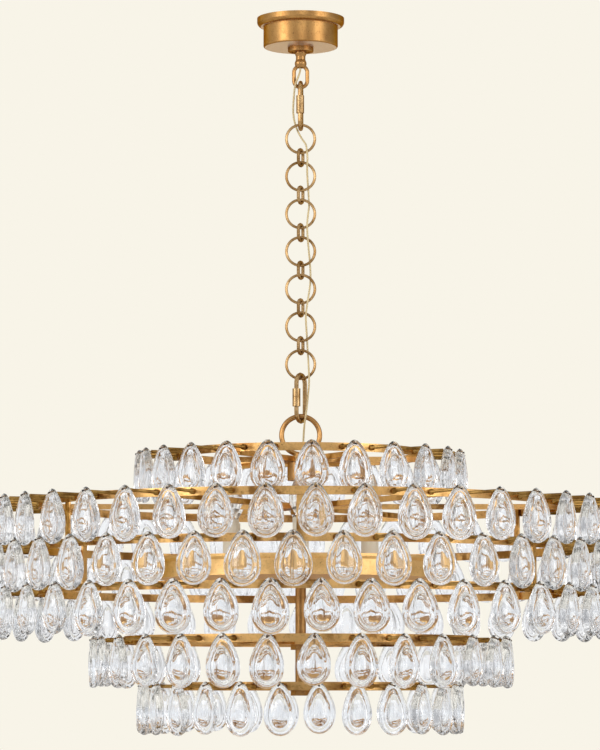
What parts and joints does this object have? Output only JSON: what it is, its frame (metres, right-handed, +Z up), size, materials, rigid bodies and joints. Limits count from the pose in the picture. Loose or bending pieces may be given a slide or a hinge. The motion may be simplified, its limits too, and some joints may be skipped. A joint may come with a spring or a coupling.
{
  "type": "crystal chandelier",
  "caption": "Round tiered chandelier: flat gilt bands with radial pegs that carry clear glass teardrops, hung from a ceiling canopy by a chain of rings and links with a cord.",
  "frame": {"origin": "centre of the ceiling plane, on the canopy's axis", "axes": "+Z up into the ceiling along the fixture's axis, front towards -Y, +X to the right"},
  "size_m": [0.9672, 0.9677, 1.0868],
  "materials": {
    "antique_gold": "hand-gilded, antiqued",
    "antique_gold_chain": "gilded, antiqued",
    "clear_glass": "clear, hand made",
    "cord_jacket": "translucent gold",
    "plated_steel": "plated",
    "lamp_glass": "clear",
    "candle_sleeve": "matt cream"
  },
  "bodies": {
    "ceiling_mount": {"ceiling_bracket": "plated_steel", "mounting_nipple": "plated_steel", "nipple_locknuts": "plated_steel", "canopy_loop": "antique_gold_chain", "supply_cord": "cord_jacket"},
    "canopy": {"canopy_shell": "antique_gold"},
    "collar": {"screw_collar": "antique_gold"},
    "upper_link": {"upper_quick_link": "antique_gold_chain"},
    "upper_sleeve": {"upper_link_sleeve": "antique_gold_chain"},
    "ring_1": {"chain_ring_1": "antique_gold_chain"},
    "link_1": {"chain_link_1": "antique_gold_chain"},
    "ring_2": {"chain_ring_2": "antique_gold_chain"},
    "link_2": {"chain_link_2": "antique_gold_chain"},
    "ring_3": {"chain_ring_3": "antique_gold_chain"},
    "link_3": {"chain_link_3": "antique_gold_chain"},
    "ring_4": {"chain_ring_4": "antique_gold_chain"},
    "link_4": {"chain_link_4": "antique_gold_chain"},
    "ring_5": {"chain_ring_5": "antique_gold_chain"},
    "link_5": {"chain_link_5": "antique_gold_chain"},
    "ring_6": {"chain_ring_6": "antique_gold_chain"},
    "link_6": {"chain_link_6": "antique_gold_chain"},
    "ring_7": {"chain_ring_7": "antique_gold_chain"},
    "lower_link": {"lower_quick_link": "antique_gold_chain"},
    "lower_sleeve": {"lower_link_sleeve": "antique_gold_chain"},
    "fixture": {"hanging_eye": "antique_gold_chain", "top_hub": "antique_gold", "stem": "antique_gold", "stem_nuts": "plated_steel", "top_spider": "antique_gold", "middle_spider": "antique_gold", "lower_spider": "antique_gold", "bottom_spider": "antique_gold", "band_straps": "antique_gold", "lamp_pan": "antique_gold", "lamp_holders": "candle_sleeve", "lamps": "lamp_glass", "tier_1_band": "antique_gold", "tier_1_pegs": "antique_gold", "tier_1_drops": "clear_glass", "tier_2_band": "antique_gold", "tier_2_pegs": "antique_gold", "tier_2_drops": "clear_glass", "tier_3_band": "antique_gold", "tier_3_pegs": "antique_gold", "tier_3_drops": "clear_glass", "tier_4_band": "antique_gold", "tier_4_pegs": "antique_gold", "tier_4_drops": "clear_glass", "tier_5_band": "antique_gold", "tier_5_pegs": "antique_gold", "tier_5_drops": "clear_glass", "tier_6_band": "antique_gold", "tier_6_pegs": "antique_gold", "tier_6_drops": "clear_glass"},
    "front_drop_1": {"tier_1_front_drop": "clear_glass"},
    "front_drop_2": {"tier_2_front_drop": "clear_glass"},
    "front_drop_3": {"tier_3_front_drop": "clear_glass"},
    "front_drop_4": {"tier_4_front_drop": "clear_glass"},
    "front_drop_5": {"tier_5_front_drop": "clear_glass"},
    "front_drop_6": {"tier_6_front_drop": "clear_glass"}
  },
  "joints": [
    {"name": "canopy_slide", "type": "slide", "parent": "ceiling_mount", "child": "canopy", "axis": [0, 0, -1], "range_m": [0, 0.042]},
    {"name": "collar_turn", "type": "hinge", "parent": "canopy", "child": "collar", "pos_m": [0, 0, -0.052], "axis": [0, 0, 1], "continuous": true},
    {"name": "upper_link_swing", "type": "hinge", "parent": "ceiling_mount", "child": "upper_link", "pos_m": [0, 0, -0.1063], "axis": [1, 0, 0], "range_deg": [-4, 4], "deforming": ["supply_cord"]},
    {"name": "upper_sleeve_slide", "type": "slide", "parent": "upper_link", "child": "upper_sleeve", "axis": [0, 0, 1], "range_m": [0, 0.01]},
    {"name": "ring_1_swing", "type": "hinge", "parent": "upper_link", "child": "ring_1", "pos_m": [0, 0, -0.1701], "axis": [0.0523, 0.9986, 0], "range_deg": [-4, 4], "deforming": ["supply_cord"]},
    {"name": "link_1_swing", "type": "hinge", "parent": "ring_1", "child": "link_1", "pos_m": [0, 0, -0.20735], "axis": [1, 0, 0], "range_deg": [-4, 4], "deforming": ["supply_cord"]},
    {"name": "ring_2_swing", "type": "hinge", "parent": "link_1", "child": "ring_2", "pos_m": [0, 0, -0.22678], "axis": [0.4226, 0.9063, 0], "range_deg": [-4, 4], "deforming": ["supply_cord"]},
    {"name": "link_2_swing", "type": "hinge", "parent": "ring_2", "child": "link_2", "pos_m": [0, 0, -0.26485], "axis": [1, 0, 0], "range_deg": [-4, 4], "deforming": ["supply_cord"]},
    {"name": "ring_3_swing", "type": "hinge", "parent": "link_2", "child": "ring_3", "pos_m": [0, 0, -0.28427], "axis": [0.4226, 0.9063, 0], "range_deg": [-4, 4], "deforming": ["supply_cord"]},
    {"name": "link_3_swing", "type": "hinge", "parent": "ring_3", "child": "link_3", "pos_m": [0, 0, -0.32235], "axis": [1, 0, 0], "range_deg": [-4, 4], "deforming": ["supply_cord"]},
    {"name": "ring_4_swing", "type": "hinge", "parent": "link_3", "child": "ring_4", "pos_m": [0, 0, -0.34177], "axis": [0.4226, 0.9063, 0], "range_deg": [-4, 4], "deforming": ["supply_cord"]},
    {"name": "link_4_swing", "type": "hinge", "parent": "ring_4", "child": "link_4", "pos_m": [0, 0, -0.37985], "axis": [1, 0, 0], "range_deg": [-4, 4], "deforming": ["supply_cord"]},
    {"name": "ring_5_swing", "type": "hinge", "parent": "link_4", "child": "ring_5", "pos_m": [0, 0, -0.39927], "axis": [0.4226, 0.9063, 0], "range_deg": [-4, 4], "deforming": ["supply_cord"]},
    {"name": "link_5_swing", "type": "hinge", "parent": "ring_5", "child": "link_5", "pos_m": [0, 0, -0.43735], "axis": [1, 0, 0], "range_deg": [-4, 4], "deforming": ["supply_cord"]},
    {"name": "ring_6_swing", "type": "hinge", "parent": "link_5", "child": "ring_6", "pos_m": [0, 0, -0.45677], "axis": [0.4226, 0.9063, 0], "range_deg": [-4, 4], "deforming": ["supply_cord"]},
    {"name": "link_6_swing", "type": "hinge", "parent": "ring_6", "child": "link_6", "pos_m": [0, 0, -0.49485], "axis": [1, 0, 0], "range_deg": [-4, 4], "deforming": ["supply_cord"]},
    {"name": "ring_7_swing", "type": "hinge", "parent": "link_6", "child": "ring_7", "pos_m": [0, 0, -0.51428], "axis": [0.4226, 0.9063, 0], "range_deg": [-4, 4], "deforming": ["supply_cord"]},
    {"name": "lower_link_swing", "type": "hinge", "parent": "ring_7", "child": "lower_link", "pos_m": [0, 0, -0.55235], "axis": [1, 0, 0], "range_deg": [-4, 4], "deforming": ["supply_cord"]},
    {"name": "lower_sleeve_slide", "type": "slide", "parent": "lower_link", "child": "lower_sleeve", "axis": [0, 0, 1], "range_m": [0, 0.01]},
    {"name": "fixture_swing", "type": "hinge", "parent": "lower_link", "child": "fixture", "pos_m": [0, 0, -0.617], "axis": [0.454, 0.891, 0], "range_deg": [-4, 4], "deforming": ["supply_cord"]},
    {"name": "front_drop_1_swing", "type": "hinge", "parent": "fixture", "child": "front_drop_1", "pos_m": [0.01589, -0.24248, -0.6679], "axis": [0.0654, -0.9979, 0], "range_deg": [-8, 8]},
    {"name": "front_drop_2_swing", "type": "hinge", "parent": "fixture", "child": "front_drop_2", "pos_m": [0.02086, -0.47554, -0.7441], "axis": [0.0438, -0.999, 0], "range_deg": [-8, 8]},
    {"name": "front_drop_3_swing", "type": "hinge", "parent": "fixture", "child": "front_drop_3", "pos_m": [0.05897, -0.47233, -0.8093], "axis": [0.1239, -0.9923, 0], "range_deg": [-8, 8]},
    {"name": "front_drop_4_swing", "type": "hinge", "parent": "fixture", "child": "front_drop_4", "pos_m": [0.02781, -0.47519, -0.8748], "axis": [0.0584, -0.9983, 0], "range_deg": [-8, 8]},
    {"name": "front_drop_5_swing", "type": "hinge", "parent": "fixture", "child": "front_drop_5", "pos_m": [0.0202, -0.31034, -0.9473], "axis": [0.065, -0.9979, 0], "range_deg": [-8, 8]},
    {"name": "front_drop_6_swing", "type": "hinge", "parent": "fixture", "child": "front_drop_6", "pos_m": [0.02583, -0.23659, -1.0158], "axis": [0.1085, -0.9941, 0], "range_deg": [-8, 8]}
  ]
}
